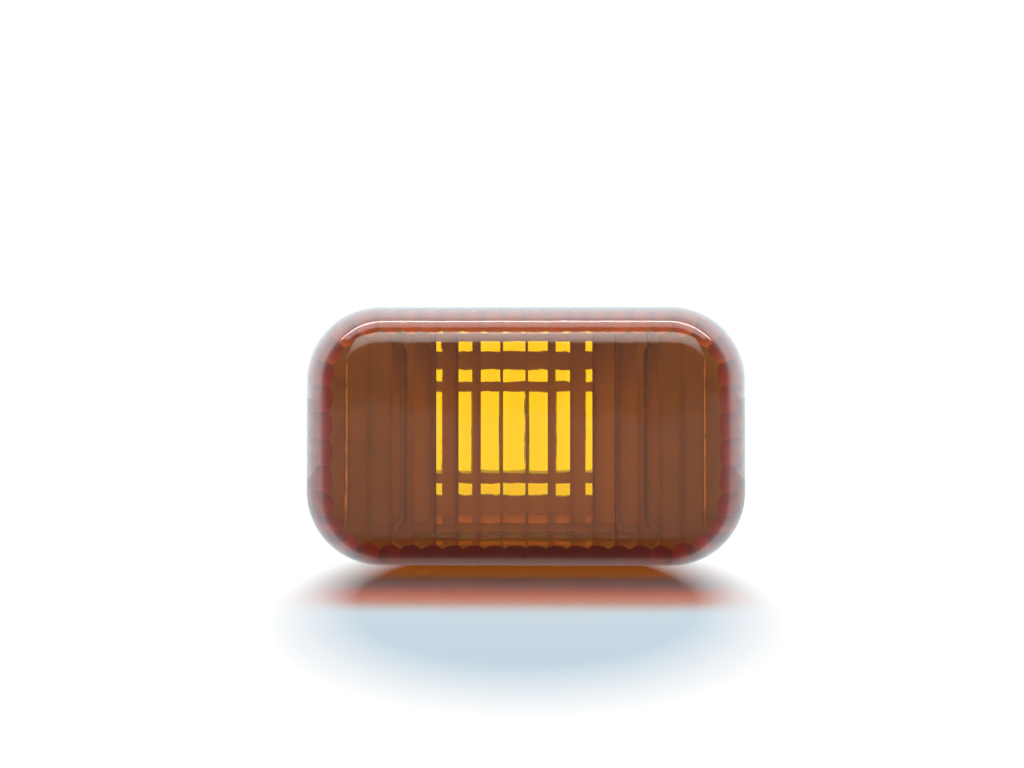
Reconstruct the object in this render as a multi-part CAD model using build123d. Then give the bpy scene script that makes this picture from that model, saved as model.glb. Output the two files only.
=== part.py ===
from build123d import *
import os
from math import asin, ceil, cos, pi, radians, sin, tan

# Side repeater lamp, in millimetres. The origin is the centre of the gasket's rear face, which lies on the
# outside of the car's panel. +Y points through the panel into the car, and the lens looks along -Y. +Z is up.

# Lens: an amber cup, widest at its rim. Its walls lean in from the rim on, and are crowned from rim to front.
# Its ends lean in more than its top and bottom. Inside, the walls are straight.
lens_width = 74.0
lens_height = 43.6
lens_depth = 14.0
lens_corner_radius = 12.5
lens_top_lean = 9.0
lens_end_lean = 15.0
lens_top_crown_radius = 60.0
lens_end_crown_radius = 50.0
lens_top_draft_angle = 14.0
lens_end_draft_angle = 21.0
lens_side_wall = 2.2
lens_front_wall = 2.4
lens_edge_round = 4.5
crown_sections = 4

# Reeding inside the lens. The flutes stand upright on the front wall, and the ribs run front to back
# on the side walls. At the rim each rib on the top and bottom walls meets a flute, and the ribs of each
# rounded end are evenly spaced.
straight_flute_count = 14
end_rib_count = 12
flute_height = 0.5
rib_height = 0.5

# Tongue on the lens rim, in a groove of the housing
tongue_inset = 0.8
tongue_width = 1.0
tongue_height = 0.9
tongue_clearance = 0.12

# Housing
flange_step = 0.25
flange_thickness = 2.4
neck_inset_x = 14.4
neck_inset_z = 3.8
neck_corner_radius = 4.5
neck_reach = 13.8
neck_wall = 1.6
neck_edge_round = 0.9
rear_wall = 1.8

# Openings in the rear wall, and the collar that takes the bulb holder
opening_width = 19.2
opening_offset = -1.9
bulb_opening_height = 14.7
collar_wall = 1.85
collar_reach = 6.0
collar_corner_radius = 1.0
collar_lead_in = 0.6
inner_slot_height = 2.2
outer_slot_height = 1.7
closed_slot_web = 0.6
holder_catch_width = 3.0
holder_catch_height = 5.0

# Gasket
gasket_thickness = 2.0
gasket_margin = 0.9
gasket_neck_gap = 0.3
gasket_edge_round = 0.5

# Fixing in the panel: two lugs on the left of the neck, a spring on the right
panel_thickness = 1.2
lug_reach = 4.0
lug_length = 3.0
lug_height = 7.0
lug_spacing = 18.0
lug_lead_in = 2.4
spring_thickness = 0.5
spring_base_width = 12.0
spring_leg_width = 9.2
spring_base_length = 10.5
spring_reach = 4.6
spring_bend_radius = 1.0
spring_turn_flat = 0.4
spring_tip_gap = 1.4
spring_clearance = 0.2
rail_thickness = 1.2
rail_overlap = 1.0

# Places along Y, from the panel face
flange_rear_y = -gasket_thickness
rim_y = flange_rear_y - flange_thickness
lens_front_y = rim_y - lens_depth
flute_y = lens_front_y + lens_front_wall
rear_wall_y = neck_reach - rear_wall
collar_end_y = neck_reach + collar_reach

# Sizes that follow from the driving ones
top_draft = tan(radians(lens_top_draft_angle))
end_draft = tan(radians(lens_end_draft_angle))
rim_straight_x = lens_width - 2 * lens_corner_radius
rim_straight_z = lens_height - 2 * lens_corner_radius
flute_pitch = rim_straight_x / straight_flute_count
neck_width = lens_width - 2 * neck_inset_x
neck_height = lens_height - 2 * neck_inset_z
neck_inner_height = neck_height - 2 * neck_wall
collar_width = opening_width + 2 * collar_wall
collar_height = bulb_opening_height + 2 * collar_wall
neck_right_x = neck_width / 2


def depth_plane(y):
    """The upright plane at depth y, whose normal points to the front."""
    return Plane.XZ.offset(-y)


def slab(outline, front_y, rear_y):
    """The solid between two depths with the given outline."""
    return extrude(depth_plane(rear_y) * outline, rear_y - front_y)


def rim_outline(inset):
    """The lens rim's rounded rectangle, moved inwards by inset."""
    width = lens_width - 2 * inset
    height = lens_height - 2 * inset
    return RectangleRounded(width, height, lens_corner_radius - inset)


def rim_ring(inset, width):
    """A ring of the given width along the lens rim."""
    return rim_outline(inset) - rim_outline(inset + width)


def block(low, high):
    """The box between two corners."""
    size = Vector(high) - Vector(low)
    middle = (Vector(high) + Vector(low)) * 0.5
    return Pos(middle) * Box(size.X, size.Y, size.Z)


def bulged_line(points, bulge):
    """Arcs from point to point, each bulging to the left of its way by bulge."""
    arcs = []
    for start, end in zip(points, points[1:]):
        start, end = Vector(start), Vector(end)
        along = (end - start).normalized()
        middle = (start + end) * 0.5 + Vector(-along.Y, along.X) * bulge
        arcs.append(ThreePointArc(start, middle, end))
    return arcs


def end_point(share, half_straight, radius):
    """A point of the right end's inside, from the bottom wall at share 0, round two corners, to the top at 1."""
    corner = pi / 2 * (lens_corner_radius - lens_side_wall)
    along = share * (2 * corner + rim_straight_z)
    past_corner = min(max(along - corner, 0), rim_straight_z)
    turned = (along - past_corner) / corner - 1
    angle = turned * pi / 2
    centre_z = past_corner - rim_straight_z / 2
    return (half_straight + radius * cos(angle), centre_z + radius * sin(angle))


def crowned_inset(lean, crown_radius, depth):
    """How far inside the rim a crowned wall lies at the given depth, if it leans in by lean degrees at the rim."""
    turned = asin(sin(radians(lean)) + depth / crown_radius)
    return crown_radius * (cos(radians(lean)) - cos(turned))


def lens_outline(depth):
    """The outside outline of the lens, at the given depth from the rim."""
    top_inset = crowned_inset(lens_top_lean, lens_top_crown_radius, depth)
    end_inset = crowned_inset(lens_end_lean, lens_end_crown_radius, depth)
    return RectangleRounded(lens_width - 2 * end_inset, lens_height - 2 * top_inset, lens_corner_radius - top_inset)


def ribbed_outline(depth):
    """The inside outline of the lens, with ribs that bulge inwards, at the given depth from the rim."""
    radius = lens_corner_radius - lens_side_wall - top_draft * depth
    half_straight = rim_straight_x / 2 - (end_draft - top_draft) * depth
    right_end = [end_point(step / end_rib_count, half_straight, radius) for step in range(end_rib_count)]
    top_z = rim_straight_z / 2 + radius
    rib_pitch = 2 * half_straight / straight_flute_count
    top = [(half_straight - step * rib_pitch, top_z) for step in range(straight_flute_count)]
    half = right_end + top
    other_half = [(-x, -z) for x, z in half]
    return make_face(bulged_line(half + other_half + half[:1], rib_height))


def make_lens_hollow():
    """The space inside the lens: a drafted cup with ribbed sides and a fluted end."""
    end_y = flute_y - lens_front_wall / 2
    rim_face = depth_plane(rim_y) * ribbed_outline(0)
    end_face = depth_plane(end_y) * ribbed_outline(rim_y - end_y)
    cup = loft([rim_face, end_face], ruled=True)

    half_count = ceil(lens_width / 2 / flute_pitch)
    edge_points = [(step * flute_pitch, flute_y) for step in range(-half_count, half_count + 1)]
    fluted_end = bulged_line(edge_points, flute_height)
    far_left, far_right = edge_points[0][0], edge_points[-1][0]
    back = Polyline((far_right, flute_y), (far_right, rim_y), (far_left, rim_y), (far_left, flute_y))
    fluted_space = extrude(make_face(fluted_end + [back]), lens_height / 2, both=True)
    return cup & fluted_space


def make_lens():
    """The amber cup, reeded inside, with a tongue round its rim."""
    depths = [step / crown_sections * lens_depth for step in range(crown_sections + 1)]
    cup = loft([depth_plane(rim_y - depth) * lens_outline(depth) for depth in depths])
    front_edges = cup.faces().sort_by(Axis.Y)[0].edges()
    cup = fillet(front_edges, lens_edge_round)
    tongue = slab(rim_ring(tongue_inset, tongue_width), rim_y, rim_y + tongue_height)
    return cup - make_lens_hollow() + tongue


def make_rear_openings():
    """The bulb opening and the slots above and below it, as an upright ladder, a little left of the middle.
    The lowest slot is closed by a web."""
    inner_slot_z = (collar_height + inner_slot_height) / 2
    outer_slot_z = (neck_inner_height - outer_slot_height) / 2
    inner_slot = Rectangle(opening_width, inner_slot_height)
    outer_slot = Rectangle(opening_width, outer_slot_height)
    openings = Rectangle(opening_width, bulb_opening_height) + Pos(0, outer_slot_z) * outer_slot
    openings += [Pos(0, inner_slot_z) * inner_slot, Pos(0, -inner_slot_z) * inner_slot]
    through = slab(openings, rear_wall_y, neck_reach)
    closed = slab(Pos(0, -outer_slot_z) * outer_slot, rear_wall_y, neck_reach - closed_slot_web)
    return Pos(opening_offset, 0, 0) * Compound([through, closed])


def make_collar():
    """The collar round the bulb opening, with a catch hole in each side wall."""
    outside = RectangleRounded(collar_width, collar_height, collar_corner_radius)
    collar = slab(outside - Rectangle(opening_width, bulb_opening_height), neck_reach, collar_end_y)
    mouth_edges = collar.faces().sort_by(Axis.Y)[-1].inner_wires()[0].edges()
    collar = chamfer(mouth_edges, collar_lead_in)
    catch_y = (neck_reach + collar_end_y) / 2
    catches = Pos(0, catch_y, 0) * Box(2 * collar_width, holder_catch_width, holder_catch_height)
    return Pos(opening_offset, 0, 0) * (collar - catches)


def make_lugs():
    """Two lugs on the left of the neck that reach behind the panel."""
    lugs = []
    for side in (-1, 1):
        middle_z = side * lug_spacing / 2
        low = (-neck_right_x - lug_reach, panel_thickness, middle_z - lug_height / 2)
        high = (-neck_right_x + neck_wall / 2, panel_thickness + lug_length, middle_z + lug_height / 2)
        lug = block(low, high)
        outer_rear_edge = lug.edges().filter_by(Axis.Z).group_by(Axis.X)[0].sort_by(Axis.Y)[-1]
        lugs.append(chamfer(outer_rear_edge, lug_lead_in))
    return lugs


def make_rails():
    """Two rails on the right of the neck, hooked over the edges of the spring's base."""
    channel_z = spring_base_width / 2 + spring_clearance
    lip_x = neck_right_x + spring_thickness + spring_clearance
    start_y, end_y = panel_thickness, panel_thickness + spring_base_length
    inside_x = neck_right_x - neck_wall / 2
    rails = []
    for side in (-1, 1):
        wall = block((inside_x, start_y, channel_z), (lip_x, end_y, channel_z + rail_thickness))
        lip_low = (lip_x, start_y, spring_base_width / 2 - rail_overlap)
        lip = block(lip_low, (lip_x + rail_thickness, end_y, channel_z + rail_thickness))
        rail = wall + lip
        rails.append(rail if side > 0 else mirror(rail, Plane.XY))
    return rails


def neck_outline(inset):
    """The neck's rounded rectangle, moved inwards by inset."""
    return RectangleRounded(neck_width - 2 * inset, neck_height - 2 * inset, neck_corner_radius - inset)


def make_housing():
    """The dark moulding: flange, neck, rear wall with its openings, collar, lugs and rails."""
    groove = rim_ring(tongue_inset - tongue_clearance, tongue_width + 2 * tongue_clearance)
    groove_end_y = rim_y + tongue_height + tongue_clearance
    flange = slab(rim_outline(flange_step), rim_y, flange_rear_y) - slab(groove, rim_y, groove_end_y)
    neck = slab(neck_outline(0), flange_rear_y, neck_reach)
    neck = fillet(neck.faces().sort_by(Axis.Y)[-1].edges(), neck_edge_round)
    solid = flange + [neck] + make_lugs() + make_rails()
    chamber = slab(neck_outline(neck_wall), rim_y, rear_wall_y)
    return solid - chamber - make_rear_openings() + make_collar()


def make_gasket():
    """The soft ring behind the flange."""
    ring = slab(rim_outline(flange_step + gasket_margin) - neck_outline(-gasket_neck_gap), flange_rear_y, 0)
    rear_edges = ring.edges().group_by(Axis.Y)[-1]
    return fillet(rear_edges, gasket_edge_round)


def make_retaining_spring():
    """A bent strip: a base on the neck, a round bend at the rear, and a leg that springs out to the front."""
    base_x = neck_right_x + spring_thickness / 2
    base_front_y = panel_thickness
    base_rear_y = panel_thickness + spring_base_length
    shoulder = (neck_right_x + spring_reach, panel_thickness + spring_bend_radius)
    tip = (neck_right_x + spring_thickness + spring_tip_gap, spring_thickness)
    turn_x = base_x + 2 * spring_bend_radius + spring_turn_flat
    turn_y = base_rear_y + spring_bend_radius
    points = [(base_x, base_front_y), (base_x, turn_y), (turn_x, turn_y), shoulder, tip]
    path = FilletPolyline(*points, radius=spring_bend_radius)
    section = Plane(path @ 0, x_dir=(0, 0, 1), z_dir=path % 0) * Rectangle(spring_leg_width, spring_thickness)
    strip = sweep(section, path)
    base_low = (neck_right_x, base_front_y, -spring_base_width / 2)
    base_high = (neck_right_x + spring_thickness, base_rear_y, spring_base_width / 2)
    return strip + block(base_low, base_high)


nodes = {
    "lens": make_lens(),
    "housing": make_housing(),
    "gasket": make_gasket(),
    "retaining_spring": make_retaining_spring(),
}

os.makedirs("parts", exist_ok=True)
for name, solid in nodes.items():
    export_step(solid, f"parts/{name}.step")
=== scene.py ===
import math

import bmesh
import bpy
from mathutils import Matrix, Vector


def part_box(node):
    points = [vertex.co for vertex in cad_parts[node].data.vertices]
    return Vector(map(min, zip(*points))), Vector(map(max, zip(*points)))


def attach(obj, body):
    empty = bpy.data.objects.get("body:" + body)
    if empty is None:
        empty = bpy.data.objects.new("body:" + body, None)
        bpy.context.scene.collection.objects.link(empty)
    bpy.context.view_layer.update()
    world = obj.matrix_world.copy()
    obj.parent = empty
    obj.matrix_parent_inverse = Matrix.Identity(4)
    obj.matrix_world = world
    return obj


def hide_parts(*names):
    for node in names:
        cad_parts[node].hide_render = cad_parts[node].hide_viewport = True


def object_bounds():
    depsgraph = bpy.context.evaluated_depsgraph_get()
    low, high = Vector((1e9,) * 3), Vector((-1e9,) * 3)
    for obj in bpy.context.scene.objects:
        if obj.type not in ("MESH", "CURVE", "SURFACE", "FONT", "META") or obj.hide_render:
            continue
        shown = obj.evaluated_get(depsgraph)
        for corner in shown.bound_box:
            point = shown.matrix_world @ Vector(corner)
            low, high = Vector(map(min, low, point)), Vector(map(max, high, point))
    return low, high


# Side repeater lamp, in metres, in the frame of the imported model. The lens looks along -Y, and +Z is up.

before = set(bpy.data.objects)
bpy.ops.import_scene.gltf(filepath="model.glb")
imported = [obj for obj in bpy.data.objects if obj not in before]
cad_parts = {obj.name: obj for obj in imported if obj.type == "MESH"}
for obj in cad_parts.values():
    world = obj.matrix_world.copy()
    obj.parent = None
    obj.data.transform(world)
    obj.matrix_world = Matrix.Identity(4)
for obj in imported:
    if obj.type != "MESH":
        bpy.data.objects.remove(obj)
cad_low, cad_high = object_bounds()

MM = 0.001
WHITE = (1.0, 1.0, 1.0, 1.0)

# Lens, beyond what the frame gives
LENS_CORNER_RADIUS = 12.5 * MM
LENS_TOP_LEAN = math.radians(9.0)
LENS_END_LEAN = math.radians(15.0)
LENS_TOP_CROWN_RADIUS = 60.0 * MM
LENS_END_CROWN_RADIUS = 50.0 * MM
LENS_TOP_DRAFT = math.tan(math.radians(14.0))
LENS_END_DRAFT = math.tan(math.radians(21.0))
LENS_SIDE_WALL = 2.2 * MM
LENS_FRONT_WALL = 2.4 * MM
LENS_EDGE_ROUND = 4.5 * MM
STRAIGHT_FLUTES = 14
END_RIBS = 12
FLUTE_HEIGHT = 0.5 * MM
RIB_HEIGHT = 0.5 * MM
TONGUE_INSET = 0.8 * MM
TONGUE_WIDTH = 1.0 * MM
CUT_OVERLAP = 1.0 * MM
RIM_GAP = 0.03 * MM

# Smoothness of the lens mesh
STEPS_ON_RIB = 16
STEPS_ON_CROWN = 10
STEPS_ON_EDGE_ROUND = 14
SHARP_ANGLE = math.radians(25)
SATIN_ATTRIBUTE = "satin"

# Rounding of the other pieces' sharp edges
HOUSING_EDGE_ROUND = 0.25 * MM
GASKET_EDGE_ROUND = 0.15 * MM
SPRING_EDGE_ROUND = 0.08 * MM
EDGE_ROUND_STEPS = 3
MERGE_DISTANCE = 0.001 * MM
FLAT_ANGLE = math.radians(0.5)

# Shared effects: which values of a pattern show, and how strongly
NOISE_SPAN = (0.3, 0.7)
DUST_CLOUD_SPAN = (0.40, 0.75)
DUST_CLOUD_WEIGHT = 0.6
DUST_SPECK_SPAN = (0.08, 0.18)
DUST_SPECK_WEIGHT = 0.4
DUST_FACING_SPAN = (-0.3, 0.8)
DUST_FACING_DOWN = 0.4
SCRATCH_SPAN = (0.70, 0.76)
SCRATCH_TURNS_RADIANS = (0.35, -0.9)

# Amber acrylic. The dust, the scratches and the satin of the ribs each add their roughness.
AMBER_IOR = 1.49
AMBER_TRANSMISSION = 0.99
AMBER_ABSORPTION_COLOR = (0.996, 0.907, 0.0, 1.0)
AMBER_ABSORPTION_DENSITY = 2420.0
AMBER_SHADOW_COLOR = (0.96, 0.96, 0.96, 1.0)
AMBER_POLISHED_ROUGHNESS = 0.03
AMBER_DUST_ROUGHNESS = 0.10
AMBER_SCRATCH_ROUGHNESS = 0.08
AMBER_SATIN_ROUGHNESS = 0.28

# Dark plastic, painted paler inside the neck and on the thin web that closes the lowest slot, as painted light
PLASTIC_COLOR = (0.18, 0.168, 0.165, 1.0)
PLASTIC_ROUGHNESS = (0.30, 0.40)
PLASTIC_DUST_SHARE = 0.35
DUST_AND_PAINTED_LIGHT_COLOR = (0.55, 0.48, 0.40, 1.0)
NECK_PAINTED_LIGHT_SHARE = 0.8
NECK_INSIDE_CENTRE = Vector((0.0, 6.0, 0.0)) * MM
NECK_INSIDE_REACH = Vector((21.1, 6.3, 16.5)) * MM
WEB_PAINTED_LIGHT_COLOR = (0.90, 0.76, 0.50, 1.0)
WEB_CENTRE = Vector((-1.9, 13.0, -15.6)) * MM
WEB_REACH = Vector((9.7, 0.5, 1.0)) * MM

# Rubber of the gasket
RUBBER_COLOR = (0.022, 0.022, 0.024, 1.0)
RUBBER_ROUGHNESS = (0.78, 0.92)
RUBBER_CELL_SIZE = 0.45 * MM
RUBBER_PIT_SPAN = (0.0, 0.35)
RUBBER_DUST_COLOR = (0.20, 0.19, 0.18, 1.0)
RUBBER_DUST_SHARE = 0.3

# Steel of the spring. The rolled lines are counted per metre along each axis.
STEEL_COLOR = (0.52, 0.53, 0.55, 1.0)
STEEL_BRIGHT_COLOR = (0.60, 0.60, 0.61, 1.0)
STEEL_ROUGHNESS = (0.20, 0.34)
STEEL_SCRATCH_ROUGHNESS = 0.12
STEEL_ROLLED_LINES = (60.0, 60.0, 9000.0)

# Camera, worked out from the photograph
CAMERA_PLACE = Vector((0.0, -179.9, 7.5)) * MM
CAMERA_LOOK = Vector((-0.0129, 1.0, 0.0076))
CAMERA_CLIP_START = 10.0 * MM
FOCAL_PIXELS = 1038.0
IMAGE_WIDTH_PIXELS = 1024.0
SENSOR_WIDTH_MM = 36.0

# Floor: white paper near the lamp, which fades to the plain white of the backdrop
FLOOR_REACH = 4.0
FLOOR_COLOR = (0.70, 0.85, 0.95, 1.0)
FLOOR_MIRRORED_COLOR = (0.66, 0.77, 0.83, 1.0)
FLOOR_MIRRORED_SHARE = 0.2
FLOOR_FADE_CENTRE = Vector((0.0, -28.0, 0.0)) * MM
FLOOR_FADE_STRETCH = (1.0, 0.6, 0.0)
FLOOR_FADE_START = 24.0 * MM
FLOOR_FADE_END = 35.0 * MM

# World: its levels as a light and in reflections. Each span is of the direction's Y or Z, over which a level changes.
WORLD_TINT = (0.80, 0.93, 1.0, 1.0)
WORLD_FRONT_LIGHT = 0.055
WORLD_REAR_LIGHT = 0.30
WORLD_LIGHT_SPAN = (-0.2, 0.3)
WORLD_FRONT_MIRRORED = 0.46
WORLD_REAR_MIRRORED = 1.05
WORLD_MIRRORED_SPAN = (-0.1, 0.8)
WORLD_HIGH_MIRRORED = 1.15
WORLD_HIGH_SPAN = (0.0, 0.35)
WORLD_GUIDED = 0.25

# Which rays a light is hidden from. Some lights only light the scene, and some only show in reflections.
LIGHTING_ONLY = ("glossy", "transmission")
MIRRORED_ONLY = ("diffuse", "transmission")
FRONT_LIGHT_SPREAD = math.radians(100.0)


class Nodes:
    """Short ways to add nodes to one node tree."""

    def __init__(self, tree):
        self.tree = tree

    def add(self, kind, inputs=None, **settings):
        """A new node. Inputs go by name or number, and hold a value, a socket to link, or a list of sockets."""
        made = self.tree.nodes.new(kind)
        for name, value in settings.items():
            setattr(made, name, value)
        for key, value in (inputs or {}).items():
            self.fill(made.inputs[key], value)
        return made

    def fill(self, socket, value):
        if isinstance(value, list):
            for item in value:
                self.tree.links.new(item, socket)
        elif isinstance(value, bpy.types.NodeSocket):
            self.tree.links.new(value, socket)
        else:
            socket.default_value = value

    def math(self, operation, *values):
        return self.add("ShaderNodeMath", dict(enumerate(values)), operation=operation).outputs[0]

    def vector_math(self, operation, *values):
        return self.add("ShaderNodeVectorMath", dict(enumerate(values)), operation=operation).outputs[0]

    def length(self, vector):
        return self.add("ShaderNodeVectorMath", {0: vector}, operation="LENGTH").outputs["Value"]

    def scaled(self, vector, factor):
        made = self.add("ShaderNodeVectorMath", {0: vector, "Scale": factor}, operation="SCALE")
        return made.outputs[0]

    def span(self, value, from_low, from_high, to_low, to_high):
        """Value moved from one span to another, and kept inside it."""
        inputs = {0: value, 1: from_low, 2: from_high, 3: to_low, 4: to_high}
        return self.add("ShaderNodeMapRange", inputs, clamp=True).outputs[0]

    def mix(self, share, first, second):
        return self.add("ShaderNodeMix", {0: share, 2: first, 3: second}).outputs[0]

    def mix_color(self, share, first, second):
        return self.add("ShaderNodeMix", {0: share, 6: first, 7: second}, data_type="RGBA").outputs[2]

    def combine(self, x, y, z):
        return self.add("ShaderNodeCombineXYZ", {0: x, 1: y, 2: z}).outputs[0]

    def separate(self, vector):
        return self.add("ShaderNodeSeparateXYZ", {0: vector}).outputs

    def group(self, tree, inputs, kind="GeometryNodeGroup"):
        made = self.tree.nodes.new(kind)
        made.node_tree = tree
        for key, value in inputs.items():
            self.fill(made.inputs[key], value)
        return made.outputs


def new_group(name, kind, inputs, outputs):
    """A node group with named sockets. Returns it with its tools, its inputs and its output node."""
    tree = bpy.data.node_groups.new(name, kind)
    for socket_name, socket_kind in inputs:
        tree.interface.new_socket(socket_name, in_out="INPUT", socket_type="NodeSocket" + socket_kind)
    for socket_name, socket_kind in outputs:
        tree.interface.new_socket(socket_name, in_out="OUTPUT", socket_type="NodeSocket" + socket_kind)
    given = tree.nodes.new("NodeGroupInput").outputs
    result = tree.nodes.new("NodeGroupOutput").inputs
    return tree, Nodes(tree), given, result


def arc_rise_group():
    """How far an arc over a chord rises above it, at a share of the chord's length."""
    inputs = [("Chord", "Float"), ("Height", "Float"), ("Share", "Float")]
    tree, nodes, given, result = new_group("arc_rise", "GeometryNodeTree", inputs, [("Rise", "Float")])
    half_chord = nodes.math("MULTIPLY", given["Chord"], 0.5)
    squares = nodes.math("ADD", nodes.math("POWER", half_chord, 2.0), nodes.math("POWER", given["Height"], 2.0))
    radius = nodes.math("DIVIDE", squares, nodes.math("MULTIPLY", given["Height"], 2.0))
    along = nodes.math("MULTIPLY", given["Chord"], nodes.math("SUBTRACT", given["Share"], 0.5))
    radius_squared = nodes.math("POWER", radius, 2.0)
    reach = nodes.math("SQRT", nodes.math("SUBTRACT", radius_squared, nodes.math("POWER", along, 2.0)))
    sunk = nodes.math("SUBTRACT", radius, given["Height"])
    nodes.fill(result["Rise"], nodes.math("SUBTRACT", reach, sunk))
    return tree


OUTLINE_INPUTS = [
    ("Core Half Width", "Float"),
    ("Core Half Height", "Float"),
    ("Straight Ribs", "Float"),
    ("Side Ribs", "Float"),
    ("Corner Ribs", "Float"),
]


def outline_point_group():
    """A point of a rounded rectangle. It is Radius away from a core rectangle, and Ribs counts the ribs
    from the middle of the right side, counterclockwise as seen from the front. The core is made narrower on
    each side by Narrowing. End Share is 1 on the ends, 0 on the top and bottom, and between them in the corners."""
    inputs = OUTLINE_INPUTS + [("Ribs", "Float"), ("Radius", "Float"), ("Narrowing", "Float")]
    outputs = [("Point", "Vector"), ("End Share", "Float")]
    tree, nodes, given, result = new_group("outline_point", "GeometryNodeTree", inputs, outputs)
    corner_start = nodes.math("MULTIPLY", given["Side Ribs"], 0.5)
    corner_end = nodes.math("ADD", corner_start, given["Corner Ribs"])
    quarter = nodes.math("MULTIPLY_ADD", given["Straight Ribs"], 0.5, corner_end)
    folded = nodes.math("PINGPONG", given["Ribs"], quarter)

    core_z = nodes.span(folded, 0.0, corner_start, 0.0, given["Core Half Height"])
    angle = nodes.span(folded, corner_start, corner_end, 0.0, math.pi / 2)
    half_width = nodes.math("SUBTRACT", given["Core Half Width"], given["Narrowing"])
    core_x = nodes.span(folded, corner_end, quarter, half_width, 0.0)
    x = nodes.math("MULTIPLY_ADD", given["Radius"], nodes.math("COSINE", angle), core_x)
    z = nodes.math("MULTIPLY_ADD", given["Radius"], nodes.math("SINE", angle), core_z)

    turn = nodes.math("DIVIDE", nodes.math("MULTIPLY", given["Ribs"], math.pi / 2), quarter)
    x = nodes.math("MULTIPLY", x, nodes.math("SIGN", nodes.math("COSINE", turn)))
    z = nodes.math("MULTIPLY", z, nodes.math("SIGN", nodes.math("SINE", turn)))
    nodes.fill(result["Point"], nodes.combine(x, 0.0, z))
    nodes.fill(result["End Share"], nodes.math("POWER", nodes.math("COSINE", angle), 2.0))
    return tree


def drum(nodes, around, rings):
    """A closed drum to be shaped by its position. Gives its mesh, the share of a turn of each point,
    and the number of its ring, from 0 at the rear."""
    inputs = {"Vertices": around, "Side Segments": rings, "Radius": 1.0, "Depth": 2.0}
    mesh = nodes.add("GeometryNodeMeshCylinder", inputs, fill_type="NGON").outputs["Mesh"]
    x, y, z = nodes.separate(nodes.add("GeometryNodeInputPosition").outputs[0])
    turn = nodes.math("DIVIDE", nodes.math("ARCTAN2", y, x), 2 * math.pi)
    share = nodes.math("FRACT", nodes.math("ADD", turn, 1.0))
    height = nodes.math("MULTIPLY", nodes.math("ADD", z, 1.0), 0.5)
    ring = nodes.math("ROUND", nodes.math("MULTIPLY", height, rings))
    return mesh, share, ring


def shaped(nodes, mesh, position):
    return nodes.add("GeometryNodeSetPosition", {"Geometry": mesh, "Position": position}).outputs[0]


def boolean(nodes, operation, first, others):
    """A boolean of closed meshes. For a union or an intersection, all the meshes go in one socket."""
    made = nodes.add("GeometryNodeMeshBoolean", operation=operation, solver="MANIFOLD")
    if operation == "DIFFERENCE":
        nodes.fill(made.inputs["Mesh 1"], first)
        nodes.fill(made.inputs["Mesh 2"], others)
    else:
        nodes.fill(made.inputs["Mesh 2"], [first] + others)
    return made.outputs["Mesh"]


LENS_INPUTS = OUTLINE_INPUTS + [
    ("Corner Radius", "Float"),
    ("Top Lean", "Float"),
    ("End Lean", "Float"),
    ("Top Crown Radius", "Float"),
    ("End Crown Radius", "Float"),
    ("Top Draft", "Float"),
    ("End Draft", "Float"),
    ("Side Wall", "Float"),
    ("Front Wall", "Float"),
    ("Edge Round", "Float"),
    ("Flute Height", "Float"),
    ("Rib Height", "Float"),
    ("Tongue Inset", "Float"),
    ("Tongue Width", "Float"),
    ("Front Y", "Float"),
    ("Rim Y", "Float"),
    ("Tongue End Y", "Float"),
    ("Overlap", "Float"),
    ("Sharp Angle", "Float"),
    ("Material", "Material"),
]


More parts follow.
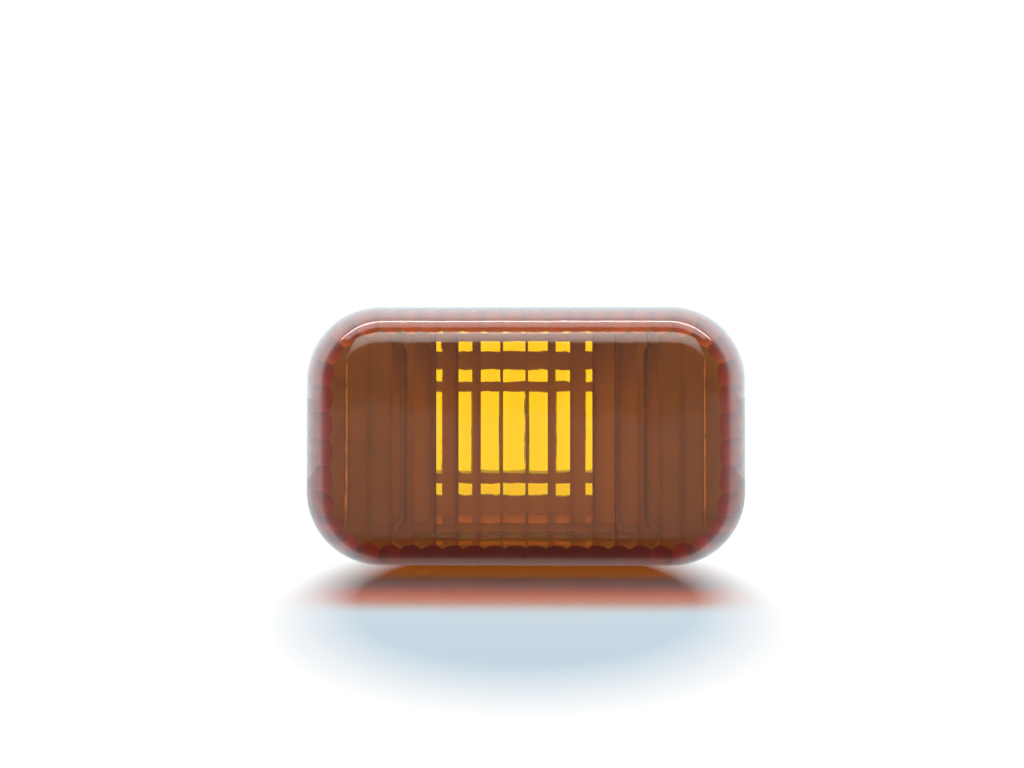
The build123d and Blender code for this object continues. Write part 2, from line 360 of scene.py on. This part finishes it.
def lens_tree(outline_point, arc_rise):
    """The amber cup: a drafted outside, less a hollow with ribbed sides and a fluted end, plus the rim's tongue."""
    tree, nodes, given, result = new_group("reeded_lens", "GeometryNodeTree", LENS_INPUTS, [("Lens", "Geometry")])
    core = {name: given[name] for name, _ in OUTLINE_INPUTS}
    straight_and_side = nodes.math("ADD", given["Straight Ribs"], given["Side Ribs"])
    uneven_count = nodes.math("MULTIPLY_ADD", given["Corner Ribs"], 2.0, straight_and_side)
    all_ribs = nodes.math("ROUND", nodes.math("MULTIPLY", uneven_count, 2.0))
    around = nodes.math("MULTIPLY", all_ribs, float(STEPS_ON_RIB))

    def outline(ribs, radius, narrowing=0.0):
        inputs = {**core, "Ribs": ribs, "Radius": radius, "Narrowing": narrowing}
        return nodes.group(outline_point, inputs)["Point"]

    def at_depth(point, y):
        return nodes.vector_math("ADD", point, nodes.combine(0.0, y, 0.0))

    def wall_step(lean, crown_radius, step):
        """How far inside the rim, and how far in front of it, a step of a wall lies. The wall is crowned, and a
        round leads from it to the front. Its slope grows with the steps from lean at the rim to a right angle."""
        edge_round = given["Edge Round"]
        depth = nodes.math("SUBTRACT", given["Rim Y"], given["Front Y"])
        crown_rise = nodes.math("MULTIPLY", crown_radius, nodes.math("SINE", lean))
        meeting_rise = nodes.math("ADD", nodes.math("SUBTRACT", depth, edge_round), crown_rise)
        meeting_sine = nodes.math("DIVIDE", meeting_rise, nodes.math("SUBTRACT", crown_radius, edge_round))
        meeting = nodes.math("ARCSINE", meeting_sine)
        crown_slope = nodes.span(step, 0.0, float(STEPS_ON_CROWN), lean, meeting)
        last_step = float(STEPS_ON_CROWN + STEPS_ON_EDGE_ROUND)
        round_slope = nodes.span(step, float(STEPS_ON_CROWN), last_step, meeting, math.pi / 2)

        def along(wave, crown_start, round_start):
            crown = nodes.math("SUBTRACT", nodes.math(wave, crown_slope), nodes.math(wave, crown_start))
            rounded = nodes.math("SUBTRACT", nodes.math(wave, round_slope), nodes.math(wave, round_start))
            return nodes.math("MULTIPLY_ADD", crown_radius, crown, nodes.math("MULTIPLY", edge_round, rounded))

        inset = nodes.math("MULTIPLY", along("COSINE", lean, meeting), -1.0)
        return inset, along("SINE", lean, meeting)

    def prism(radius, front_y, rear_y):
        """A straight block with a rounded outline."""
        mesh, share, ring = drum(nodes, around, 1)
        y = nodes.span(ring, 0.0, 1.0, rear_y, front_y)
        return shaped(nodes, mesh, at_depth(outline(nodes.math("MULTIPLY", share, all_ribs), radius), y))

    # Outside: the crowned walls from the rim on, then the round between them and the front
    mesh, share, ring = drum(nodes, around, STEPS_ON_CROWN + STEPS_ON_EDGE_ROUND)
    ribs = nodes.math("MULTIPLY", share, all_ribs)
    end_share = nodes.group(outline_point, {**core, "Ribs": ribs, "Radius": 0.0})["End Share"]
    top_inset, top_depth = wall_step(given["Top Lean"], given["Top Crown Radius"], ring)
    end_inset, end_depth = wall_step(given["End Lean"], given["End Crown Radius"], ring)
    depth = nodes.mix(end_share, top_depth, end_depth)
    radius = nodes.math("SUBTRACT", given["Corner Radius"], top_inset)
    narrowing = nodes.math("SUBTRACT", end_inset, top_inset)
    y = nodes.math("SUBTRACT", given["Rim Y"], depth)
    outside = shaped(nodes, mesh, at_depth(outline(ribs, radius, narrowing), y))

    # Ribbed cup, which runs past both its ends
    mesh, share, ring = drum(nodes, around, 1)
    flute_y = nodes.math("ADD", given["Front Y"], given["Front Wall"])
    end_y = nodes.math("MULTIPLY_ADD", given["Front Wall"], -0.5, flute_y)
    mouth_y = nodes.math("ADD", given["Tongue End Y"], given["Overlap"])
    y = nodes.span(ring, 0.0, 1.0, mouth_y, end_y)
    depth = nodes.math("SUBTRACT", given["Rim Y"], y)
    inset = nodes.math("MULTIPLY_ADD", given["Top Draft"], depth, given["Side Wall"])
    radius = nodes.math("SUBTRACT", given["Corner Radius"], inset)
    narrowing = nodes.math("MULTIPLY", nodes.math("SUBTRACT", given["End Draft"], given["Top Draft"]), depth)
    ribs = nodes.math("MULTIPLY", share, all_ribs)
    rib = nodes.math("FLOOR", ribs)
    rib_share = nodes.math("FRACT", ribs)
    start = outline(rib, radius, narrowing)
    chord = nodes.vector_math("SUBTRACT", outline(nodes.math("ADD", rib, 1.0), radius, narrowing), start)
    chord_length = nodes.length(chord)
    rise_inputs = {"Chord": chord_length, "Height": given["Rib Height"], "Share": rib_share}
    rise = nodes.group(arc_rise, rise_inputs)["Rise"]
    inwards = nodes.vector_math("CROSS_PRODUCT", chord, (0.0, 1.0, 0.0))
    bulge = nodes.scaled(inwards, nodes.math("DIVIDE", rise, chord_length))
    on_rib = nodes.vector_math("ADD", nodes.vector_math("ADD", start, nodes.scaled(chord, rib_share)), bulge)
    ribbed_cup = shaped(nodes, mesh, at_depth(on_rib, y))
    satin = {"Geometry": ribbed_cup, "Name": SATIN_ATTRIBUTE, "Value": 1.0}
    ribbed_cup = nodes.add("GeometryNodeStoreNamedAttribute", satin, domain="FACE", data_type="FLOAT").outputs[0]

    # Fluted block, whose front face carries the flutes
    pitch = nodes.math("DIVIDE", nodes.math("MULTIPLY", given["Core Half Width"], 2.0), given["Straight Ribs"])
    half_width = nodes.math("ADD", given["Core Half Width"], given["Corner Radius"])
    half_count = nodes.math("CEIL", nodes.math("DIVIDE", half_width, pitch))
    block_width = nodes.math("MULTIPLY", nodes.math("MULTIPLY", half_count, 2.0), pitch)
    columns = nodes.math("MULTIPLY_ADD", half_count, 2.0 * STEPS_ON_RIB, 1.0)
    half_height = nodes.math("ADD", given["Core Half Height"], given["Corner Radius"])
    size = nodes.combine(block_width, 1.0, nodes.math("MULTIPLY", half_height, 2.0))
    block_inputs = {"Size": size, "Vertices X": columns, "Vertices Y": 2, "Vertices Z": 2}
    mesh = nodes.add("GeometryNodeMeshCube", block_inputs).outputs["Mesh"]
    x, depth, z = nodes.separate(nodes.add("GeometryNodeInputPosition").outputs[0])
    flute_share = nodes.math("FRACT", nodes.math("ADD", nodes.math("DIVIDE", x, pitch), half_count))
    rise_inputs = {"Chord": pitch, "Height": given["Flute Height"], "Share": flute_share}
    fluted_y = nodes.math("ADD", flute_y, nodes.group(arc_rise, rise_inputs)["Rise"])
    rear_y = nodes.math("ADD", mouth_y, given["Overlap"])
    is_rear = nodes.math("GREATER_THAN", depth, 0.0)
    y = nodes.mix(is_rear, fluted_y, rear_y)
    fluted_block = shaped(nodes, mesh, nodes.combine(x, y, z))

    # Tongue, as a block with a smaller one cut from it
    tongue_radius = nodes.math("SUBTRACT", given["Corner Radius"], given["Tongue Inset"])
    tongue_start_y = nodes.math("SUBTRACT", given["Rim Y"], given["Overlap"])
    tongue = prism(tongue_radius, tongue_start_y, given["Tongue End Y"])
    inside_tongue = prism(nodes.math("SUBTRACT", tongue_radius, given["Tongue Width"]), given["Rim Y"], mouth_y)

    hollow = boolean(nodes, "INTERSECT", ribbed_cup, [fluted_block])
    solid = boolean(nodes, "UNION", outside, [tongue])
    lens = boolean(nodes, "DIFFERENCE", solid, [hollow, inside_tongue])

    # Round surfaces are shaded smooth, with sharp cusps between ribs and between flutes
    edge_angle = nodes.add("GeometryNodeInputMeshEdgeAngle").outputs["Unsigned Angle"]
    is_smooth = nodes.math("LESS_THAN", edge_angle, given["Sharp Angle"])
    lens = nodes.add("GeometryNodeSetShadeSmooth", {"Geometry": lens, "Shade Smooth": True}).outputs[0]
    edges = {"Geometry": lens, "Shade Smooth": is_smooth}
    lens = nodes.add("GeometryNodeSetShadeSmooth", edges, domain="EDGE").outputs[0]
    lens = nodes.add("GeometryNodeRealizeInstances", {"Geometry": lens}).outputs[0]
    lens = nodes.add("GeometryNodeSetMaterial", {"Geometry": lens, "Material": given["Material"]}).outputs[0]
    nodes.fill(result["Lens"], lens)
    return tree


def made_by_tree(name, tree, values):
    """A plain mesh object, made by a geometry node tree with the given inputs."""
    maker = bpy.data.objects.new(name + "_maker", bpy.data.meshes.new(name + "_maker"))
    bpy.context.scene.collection.objects.link(maker)
    modifier = maker.modifiers.new(name, "NODES")
    modifier.node_group = tree
    for socket in tree.interface.items_tree:
        if socket.in_out == "INPUT":
            modifier[socket.identifier] = values[socket.name]
    evaluated = maker.evaluated_get(bpy.context.evaluated_depsgraph_get())
    mesh = bpy.data.meshes.new_from_object(evaluated)
    bpy.data.objects.remove(maker)
    piece = bpy.data.objects.new(name, mesh)
    bpy.context.scene.collection.objects.link(piece)
    return piece


def new_material(name):
    """An empty material, with the tools for its nodes and the inputs of its output node."""
    material = bpy.data.materials.new(name)
    material.use_nodes = True
    material.node_tree.nodes.clear()
    nodes = Nodes(material.node_tree)
    return material, nodes, nodes.add("ShaderNodeOutputMaterial").inputs


def mould_grain_group():
    """Fine moulded texture. Height is its bump, from 0 to 1, and Drift a slow change across the piece."""
    inputs = [("Place", "Vector"), ("Grain Size", "Float"), ("Drift Size", "Float")]
    outputs = [("Height", "Float"), ("Drift", "Float")]
    tree, nodes, given, result = new_group("mould_grain", "ShaderNodeTree", inputs, outputs)
    grain_scale = nodes.math("DIVIDE", 1.0, given["Grain Size"])
    drift_scale = nodes.math("DIVIDE", 1.0, given["Drift Size"])
    grain = nodes.add("ShaderNodeTexNoise", {"Vector": given["Place"], "Scale": grain_scale, "Detail": 2.0})
    drift = nodes.add("ShaderNodeTexNoise", {"Vector": given["Place"], "Scale": drift_scale, "Detail": 3.0})
    nodes.fill(result["Height"], grain.outputs[0])
    nodes.fill(result["Drift"], nodes.span(drift.outputs[0], *NOISE_SPAN, 0.0, 1.0))
    return tree


def dust_film_group():
    """Where dust lies: in cloudy patches with specks, most of all on what faces up."""
    inputs = [("Place", "Vector"), ("Normal", "Vector"), ("Cloud Size", "Float"), ("Speck Size", "Float")]
    tree, nodes, given, result = new_group("dust_film", "ShaderNodeTree", inputs, [("Mask", "Float")])
    cloud_scale = nodes.math("DIVIDE", 1.0, given["Cloud Size"])
    speck_scale = nodes.math("DIVIDE", 1.0, given["Speck Size"])
    cloud = nodes.add("ShaderNodeTexNoise", {"Vector": given["Place"], "Scale": cloud_scale, "Detail": 4.0})
    speck = nodes.add("ShaderNodeTexVoronoi", {"Vector": given["Place"], "Scale": speck_scale})
    cloudy = nodes.span(cloud.outputs[0], *DUST_CLOUD_SPAN, 0.0, DUST_CLOUD_WEIGHT)
    specks = nodes.span(speck.outputs["Distance"], *DUST_SPECK_SPAN, DUST_SPECK_WEIGHT, 0.0)
    upward = nodes.span(nodes.separate(given["Normal"])["Z"], *DUST_FACING_SPAN, DUST_FACING_DOWN, 1.0)
    nodes.fill(result["Mask"], nodes.math("MULTIPLY", nodes.math("ADD", cloudy, specks), upward))
    return tree


def hair_scratches_group():
    """Fine scratches that run in two directions."""
    inputs = [("Place", "Vector"), ("Spacing", "Float"), ("Length", "Float")]
    tree, nodes, given, result = new_group("hair_scratches", "ShaderNodeTree", inputs, [("Mask", "Float")])
    across = nodes.math("DIVIDE", 1.0, given["Spacing"])
    along = nodes.math("DIVIDE", 1.0, given["Length"])
    scale = nodes.combine(along, across, across)
    masks = []
    for turn in SCRATCH_TURNS_RADIANS:
        rotation = {"Vector": given["Place"], "Angle": turn}
        turned = nodes.add("ShaderNodeVectorRotate", rotation, rotation_type="Y_AXIS")
        stretched = nodes.vector_math("MULTIPLY", turned.outputs[0], scale)
        noise = nodes.add("ShaderNodeTexNoise", {"Vector": stretched, "Scale": 1.0, "Detail": 1.0})
        masks.append(nodes.span(noise.outputs[0], *SCRATCH_SPAN, 0.0, 1.0))
    nodes.fill(result["Mask"], nodes.math("MAXIMUM", *masks))
    return tree


def object_place(nodes):
    return nodes.add("ShaderNodeTexCoord").outputs["Object"]


def shader_group(nodes, tree, inputs):
    return nodes.group(tree, inputs, "ShaderNodeGroup")


def dust_mask(nodes, dust_film, place, cloud_size, speck_size):
    normal = nodes.add("ShaderNodeNewGeometry").outputs["Normal"]
    inputs = {"Place": place, "Normal": normal, "Cloud Size": cloud_size, "Speck Size": speck_size}
    return shader_group(nodes, dust_film, inputs)["Mask"]


def amber_acrylic(dust_film, hair_scratches, mould_grain):
    """Clear amber plastic, polished but for its satin ribs, with fine wear. Its colour comes from its thickness."""
    material, nodes, output = new_material("amber_acrylic")
    place = object_place(nodes)
    dust = dust_mask(nodes, dust_film, place, cloud_size=9.0 * MM, speck_size=1.6 * MM)
    scratches = shader_group(nodes, hair_scratches, {
        "Place": place, "Spacing": 0.5 * MM, "Length": 14.0 * MM})["Mask"]
    ripple = shader_group(nodes, mould_grain, {
        "Place": place, "Grain Size": 3.0 * MM, "Drift Size": 30.0 * MM})["Height"]
    satin = nodes.add("ShaderNodeAttribute", attribute_name=SATIN_ATTRIBUTE).outputs["Fac"]
    roughness = nodes.math("MULTIPLY_ADD", dust, AMBER_DUST_ROUGHNESS, AMBER_POLISHED_ROUGHNESS)
    roughness = nodes.math("MULTIPLY_ADD", scratches, AMBER_SCRATCH_ROUGHNESS, roughness)
    roughness = nodes.math("MULTIPLY_ADD", satin, AMBER_SATIN_ROUGHNESS, roughness)
    bump = nodes.add("ShaderNodeBump", {"Height": ripple, "Strength": 1.0, "Distance": 0.03 * MM})
    acrylic = nodes.add("ShaderNodeBsdfPrincipled", {
        "Base Color": WHITE, "Roughness": roughness, "IOR": AMBER_IOR,
        "Transmission Weight": AMBER_TRANSMISSION, "Normal": bump.outputs[0]})
    clear = nodes.add("ShaderNodeBsdfTransparent", {"Color": AMBER_SHADOW_COLOR})
    is_shadow = nodes.add("ShaderNodeLightPath").outputs["Is Shadow Ray"]
    surface = nodes.add("ShaderNodeMixShader", {0: is_shadow, 1: acrylic.outputs[0], 2: clear.outputs[0]})
    nodes.fill(output["Surface"], surface.outputs[0])
    absorption = nodes.add("ShaderNodeVolumeAbsorption", {
        "Color": AMBER_ABSORPTION_COLOR, "Density": AMBER_ABSORPTION_DENSITY})
    nodes.fill(output["Volume"], absorption.outputs[0])
    return material


def within_box(nodes, place, centre, reach):
    """1 inside a box, which reaches that far from its centre along each axis, and 0 outside it."""
    offset = nodes.vector_math("ABSOLUTE", nodes.vector_math("SUBTRACT", place, centre))
    x, y, z = nodes.separate(nodes.vector_math("SUBTRACT", reach, offset))
    return nodes.math("GREATER_THAN", nodes.math("MINIMUM", nodes.math("MINIMUM", x, y), z), 0.0)


def dark_plastic(dust_film, mould_grain):
    """Dark moulded plastic with a spark-eroded texture and a little dust. It is painted paler inside the neck and on
    the web, as painted light.
    """
    material, nodes, output = new_material("dark_plastic")
    place = object_place(nodes)
    grain = shader_group(nodes, mould_grain, {"Place": place, "Grain Size": 0.22 * MM, "Drift Size": 12.0 * MM})
    dust = dust_mask(nodes, dust_film, place, cloud_size=6.0 * MM, speck_size=1.1 * MM)
    dusty = nodes.math("MULTIPLY", dust, PLASTIC_DUST_SHARE)
    # Painted light: inside the neck the plastic is made paler to stand in for the light caught there. Elsewhere the
    # same pale colour is real dust.
    inside = within_box(nodes, place, NECK_INSIDE_CENTRE, NECK_INSIDE_REACH)
    dust_and_painted_light = nodes.math("MAXIMUM", dusty, nodes.math("MULTIPLY", inside, NECK_PAINTED_LIGHT_SHARE))
    color = nodes.mix_color(dust_and_painted_light, PLASTIC_COLOR, DUST_AND_PAINTED_LIGHT_COLOR)
    # Painted light: the thin web that closes the lowest slot is tinted pale amber to stand in for light shining
    # through it.
    color = nodes.mix_color(within_box(nodes, place, WEB_CENTRE, WEB_REACH), color, WEB_PAINTED_LIGHT_COLOR)
    roughness = nodes.span(grain["Drift"], 0.0, 1.0, *PLASTIC_ROUGHNESS)
    bump = nodes.add("ShaderNodeBump", {"Height": grain["Height"], "Strength": 0.6, "Distance": 0.02 * MM})
    plastic = nodes.add("ShaderNodeBsdfPrincipled", {
        "Base Color": color, "Roughness": roughness, "Normal": bump.outputs[0]})
    nodes.fill(output["Surface"], plastic.outputs[0])
    return material


def seal_rubber(dust_film, mould_grain):
    """Black closed-cell rubber: pitted, matt and a little dusty."""
    material, nodes, output = new_material("seal_rubber")
    place = object_place(nodes)
    cells = nodes.add("ShaderNodeTexVoronoi", {"Vector": place, "Scale": 1.0 / RUBBER_CELL_SIZE})
    pits = nodes.span(cells.outputs["Distance"], *RUBBER_PIT_SPAN, 0.0, 1.0)
    grain = shader_group(nodes, mould_grain, {"Place": place, "Grain Size": 0.3 * MM, "Drift Size": 9.0 * MM})
    dust = dust_mask(nodes, dust_film, place, cloud_size=7.0 * MM, speck_size=1.3 * MM)
    color = nodes.mix_color(nodes.math("MULTIPLY", dust, RUBBER_DUST_SHARE), RUBBER_COLOR, RUBBER_DUST_COLOR)
    roughness = nodes.span(grain["Drift"], 0.0, 1.0, *RUBBER_ROUGHNESS)
    bump = nodes.add("ShaderNodeBump", {"Height": pits, "Strength": 0.7, "Distance": 0.05 * MM})
    rubber = nodes.add("ShaderNodeBsdfPrincipled", {
        "Base Color": color, "Roughness": roughness, "Normal": bump.outputs[0]})
    nodes.fill(output["Surface"], rubber.outputs[0])
    return material


def spring_steel(hair_scratches, mould_grain):
    """Bright rolled strip, with fine lines along its length."""
    material, nodes, output = new_material("spring_steel")
    place = object_place(nodes)
    lines = nodes.vector_math("MULTIPLY", place, STEEL_ROLLED_LINES)
    rolled = nodes.add("ShaderNodeTexNoise", {"Vector": lines, "Scale": 1.0, "Detail": 2.0}).outputs[0]
    grain = shader_group(nodes, mould_grain, {"Place": place, "Grain Size": 0.4 * MM, "Drift Size": 4.0 * MM})
    scratches = shader_group(nodes, hair_scratches, {
        "Place": place, "Spacing": 0.3 * MM, "Length": 5.0 * MM})["Mask"]
    color = nodes.mix_color(grain["Drift"], STEEL_COLOR, STEEL_BRIGHT_COLOR)
    rolled_roughness = nodes.span(rolled, *NOISE_SPAN, *STEEL_ROUGHNESS)
    roughness = nodes.math("MULTIPLY_ADD", scratches, STEEL_SCRATCH_ROUGHNESS, rolled_roughness)
    bump = nodes.add("ShaderNodeBump", {"Height": rolled, "Strength": 0.3, "Distance": 0.005 * MM})
    steel = nodes.add("ShaderNodeBsdfPrincipled", {
        "Base Color": color, "Metallic": 1.0, "Roughness": roughness, "Normal": bump.outputs[0]})
    nodes.fill(output["Surface"], steel.outputs[0])
    return material


def make_lens(material):
    low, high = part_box("lens")
    core_half_height = (high.z - low.z) / 2 - LENS_CORNER_RADIUS
    corner_length = math.pi / 2 * (LENS_CORNER_RADIUS - LENS_SIDE_WALL)
    end_pitch = (2 * core_half_height + 2 * corner_length) / END_RIBS
    values = {
        "Core Half Width": (high.x - low.x) / 2 - LENS_CORNER_RADIUS,
        "Core Half Height": core_half_height,
        "Straight Ribs": float(STRAIGHT_FLUTES),
        "Side Ribs": 2 * core_half_height / end_pitch,
        "Corner Ribs": corner_length / end_pitch,
        "Corner Radius": LENS_CORNER_RADIUS,
        "Top Lean": LENS_TOP_LEAN,
        "End Lean": LENS_END_LEAN,
        "Top Crown Radius": LENS_TOP_CROWN_RADIUS,
        "End Crown Radius": LENS_END_CROWN_RADIUS,
        "Top Draft": LENS_TOP_DRAFT,
        "End Draft": LENS_END_DRAFT,
        "Side Wall": LENS_SIDE_WALL,
        "Front Wall": LENS_FRONT_WALL,
        "Edge Round": LENS_EDGE_ROUND,
        "Flute Height": FLUTE_HEIGHT,
        "Rib Height": RIB_HEIGHT,
        "Tongue Inset": TONGUE_INSET,
        "Tongue Width": TONGUE_WIDTH,
        "Front Y": low.y,
        "Rim Y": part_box("housing")[0].y - RIM_GAP,
        "Tongue End Y": high.y,
        "Overlap": CUT_OVERLAP,
        "Sharp Angle": SHARP_ANGLE,
        "Material": material,
    }
    lens = made_by_tree("reeded_lens", lens_tree(outline_point_group(), arc_rise_group()), values)
    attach(lens, "root")
    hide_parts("lens")


def make_softened(node, edge_round, material):
    """A copy of a CAD node, with its sharp edges rounded a little."""
    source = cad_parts[node]
    shape = bmesh.new()
    shape.from_mesh(source.data)
    bmesh.ops.remove_doubles(shape, verts=shape.verts, dist=MERGE_DISTANCE)
    bmesh.ops.dissolve_limit(shape, angle_limit=FLAT_ANGLE, verts=shape.verts, edges=shape.edges)
    mesh = bpy.data.meshes.new(node + "_sharp")
    shape.to_mesh(mesh)
    shape.free()
    mesh.transform(source.matrix_world)
    flat_normals = mesh.attributes.get("custom_normal")
    if flat_normals:
        mesh.attributes.remove(flat_normals)
    mesh.shade_smooth()
    mesh.set_sharp_from_angle(angle=SHARP_ANGLE)
    mesh.materials.clear()
    mesh.materials.append(material)

    maker = bpy.data.objects.new(node + "_maker", mesh)
    bpy.context.scene.collection.objects.link(maker)
    bevel = maker.modifiers.new("edges", "BEVEL")
    bevel.width = edge_round
    bevel.segments = EDGE_ROUND_STEPS
    bevel.limit_method = "ANGLE"
    bevel.angle_limit = SHARP_ANGLE
    bevel.harden_normals = True
    evaluated = maker.evaluated_get(bpy.context.evaluated_depsgraph_get())
    piece = bpy.data.objects.new("soft_" + node, bpy.data.meshes.new_from_object(evaluated))
    bpy.context.scene.collection.objects.link(piece)
    bpy.data.objects.remove(maker)
    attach(piece, "root")
    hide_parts(node)


def seen_directly(nodes):
    """1 for rays from the camera, from gloss or through glass, and 0 for the rest."""
    path = nodes.add("ShaderNodeLightPath").outputs
    seen = nodes.math("MAXIMUM", path["Is Camera Ray"], path["Is Glossy Ray"])
    return nodes.math("MAXIMUM", seen, path["Is Transmission Ray"])


def white_floor():
    """White paper. It takes the shadow near the lamp, and further off it is the plain white of the backdrop.
    In reflections it is a little blue, and the backdrop shows in it near the lamp too."""
    material, nodes, output = new_material("white_floor")
    paper = nodes.add("ShaderNodeBsdfDiffuse", {"Color": FLOOR_COLOR})
    path = nodes.add("ShaderNodeLightPath").outputs
    mirrored = nodes.math("GREATER_THAN", path["Is Glossy Ray"], path["Is Transmission Ray"])
    color = nodes.mix_color(mirrored, WHITE, FLOOR_MIRRORED_COLOR)
    backdrop = nodes.add("ShaderNodeEmission", {"Color": color, "Strength": 1.0})
    place = nodes.vector_math("SUBTRACT", object_place(nodes), FLOOR_FADE_CENTRE)
    distance = nodes.length(nodes.vector_math("MULTIPLY", place, FLOOR_FADE_STRETCH))
    fade = nodes.span(distance, FLOOR_FADE_START, FLOOR_FADE_END, 0.0, 1.0)
    faded = nodes.math("MULTIPLY", fade, seen_directly(nodes))
    share = nodes.math("MAXIMUM", faded, nodes.math("MULTIPLY", mirrored, FLOOR_MIRRORED_SHARE))
    surface = nodes.add("ShaderNodeMixShader", {0: share, 1: paper.outputs[0], 2: backdrop.outputs[0]})
    nodes.fill(output["Surface"], surface.outputs[0])
    return material


def make_floor():
    mesh = bpy.data.meshes.new("floor")
    corners = [(-1, -1), (1, -1), (1, 1), (-1, 1)]
    mesh.from_pydata([(x * FLOOR_REACH, y * FLOOR_REACH, cad_low.z) for x, y in corners], [], [(0, 1, 2, 3)])
    floor = bpy.data.objects.new("floor", mesh)
    bpy.context.scene.collection.objects.link(floor)
    mesh.materials.append(white_floor())


def make_world():
    """White to the eye and through glass, but dimmer where the light was guided inside the glass. In reflections it
    is a little blue and brightest from behind. As a light it is dim, and dimmer still from the camera's side."""
    world = bpy.data.worlds.new("studio")
    bpy.context.scene.world = world
    world.use_nodes = True
    world.node_tree.nodes.clear()
    nodes = Nodes(world.node_tree)
    direction = nodes.separate(nodes.add("ShaderNodeTexCoord").outputs["Generated"])
    towards_rear, upwards = direction["Y"], direction["Z"]
    light = nodes.span(towards_rear, *WORLD_LIGHT_SPAN, WORLD_FRONT_LIGHT, WORLD_REAR_LIGHT)
    mirrored = nodes.span(towards_rear, *WORLD_MIRRORED_SPAN, WORLD_FRONT_MIRRORED, WORLD_REAR_MIRRORED)
    mirrored = nodes.math("MULTIPLY", mirrored, nodes.span(upwards, *WORLD_HIGH_SPAN, 1.0, WORLD_HIGH_MIRRORED))
    path = nodes.add("ShaderNodeLightPath").outputs
    seen = nodes.math("MAXIMUM", path["Is Camera Ray"], path["Is Transmission Ray"])
    guided = nodes.math("MULTIPLY", path["Is Transmission Ray"], nodes.math("MINIMUM", path["Glossy Depth"], 1.0))
    seen_level = nodes.mix(guided, 1.0, WORLD_GUIDED)
    strength = nodes.mix(seen, nodes.mix(path["Is Glossy Ray"], light, mirrored), seen_level)
    color = nodes.mix_color(seen, WORLD_TINT, WHITE)
    background = nodes.add("ShaderNodeBackground", {"Color": color, "Strength": strength})
    output = nodes.add("ShaderNodeOutputWorld")
    nodes.fill(output.inputs["Surface"], background.outputs[0])


def add_light(name, place, size, radiance, target=(0, 0, 0), hidden_from=(), spread=math.pi):
    """An oblong light that faces the target. Its size is its width and height, and 1 is as bright as white paper.
    A narrow spread makes it brighter straight ahead, and darker from the side."""
    data = bpy.data.lights.new(name, "AREA")
    data.shape = "RECTANGLE"
    data.size, data.size_y = size
    data.spread = spread
    data.energy = radiance * math.pi * size[0] * size[1]
    light = bpy.data.objects.new(name, data)
    for rays in hidden_from:
        setattr(light, "visible_" + rays, False)
    light.location = place
    light.rotation_euler = (Vector(target) - Vector(place)).to_track_quat("-Z", "Y").to_euler()
    bpy.context.scene.collection.objects.link(light)


def make_camera():
    data = bpy.data.cameras.new("camera")
    data.sensor_fit = "HORIZONTAL"
    data.sensor_width = SENSOR_WIDTH_MM
    data.lens = FOCAL_PIXELS / IMAGE_WIDTH_PIXELS * SENSOR_WIDTH_MM
    data.clip_start = CAMERA_CLIP_START
    camera = bpy.data.objects.new("camera", data)
    camera.location = CAMERA_PLACE
    camera.rotation_euler = CAMERA_LOOK.to_track_quat("-Z", "Y").to_euler()
    bpy.context.scene.collection.objects.link(camera)
    bpy.context.scene.camera = camera


dust_film = dust_film_group()
hair_scratches = hair_scratches_group()
mould_grain = mould_grain_group()

make_camera()
make_lens(amber_acrylic(dust_film, hair_scratches, mould_grain))
make_softened("housing", HOUSING_EDGE_ROUND, dark_plastic(dust_film, mould_grain))
make_softened("gasket", GASKET_EDGE_ROUND, seal_rubber(dust_film, mould_grain))
make_softened("retaining_spring", SPRING_EDGE_ROUND, spring_steel(hair_scratches, mould_grain))
make_floor()
make_world()
add_light("key_above", place=(0, 0.258, 0.518), size=(0.26, 0.08), radiance=38.0, hidden_from=LIGHTING_ONLY)
add_light("key_higher", place=(0, 0.19, 0.535), size=(0.26, 0.08), radiance=8.0, hidden_from=LIGHTING_ONLY)
add_light("strip_mirrored", place=(0, 0.31, 0.51), size=(1.20, 0.08), radiance=11.0, hidden_from=MIRRORED_ONLY)
add_light("ceiling_mirrored", place=(0, 0.083, 0.594), size=(1.20, 0.36), radiance=2.7, hidden_from=MIRRORED_ONLY)
add_light("front_mirrored", place=(0, -0.518, 0.35), target=(0, -0.14, -0.207), size=(0.80, 0.54), radiance=2.1,
          hidden_from=MIRRORED_ONLY, spread=FRONT_LIGHT_SPREAD)
add_light("backlight", place=(0, 0.14, 0.05), target=(0, 0, 0.05), size=(0.4, 0.14), radiance=0.22)

bpy.context.scene.view_settings.view_transform = "Standard"
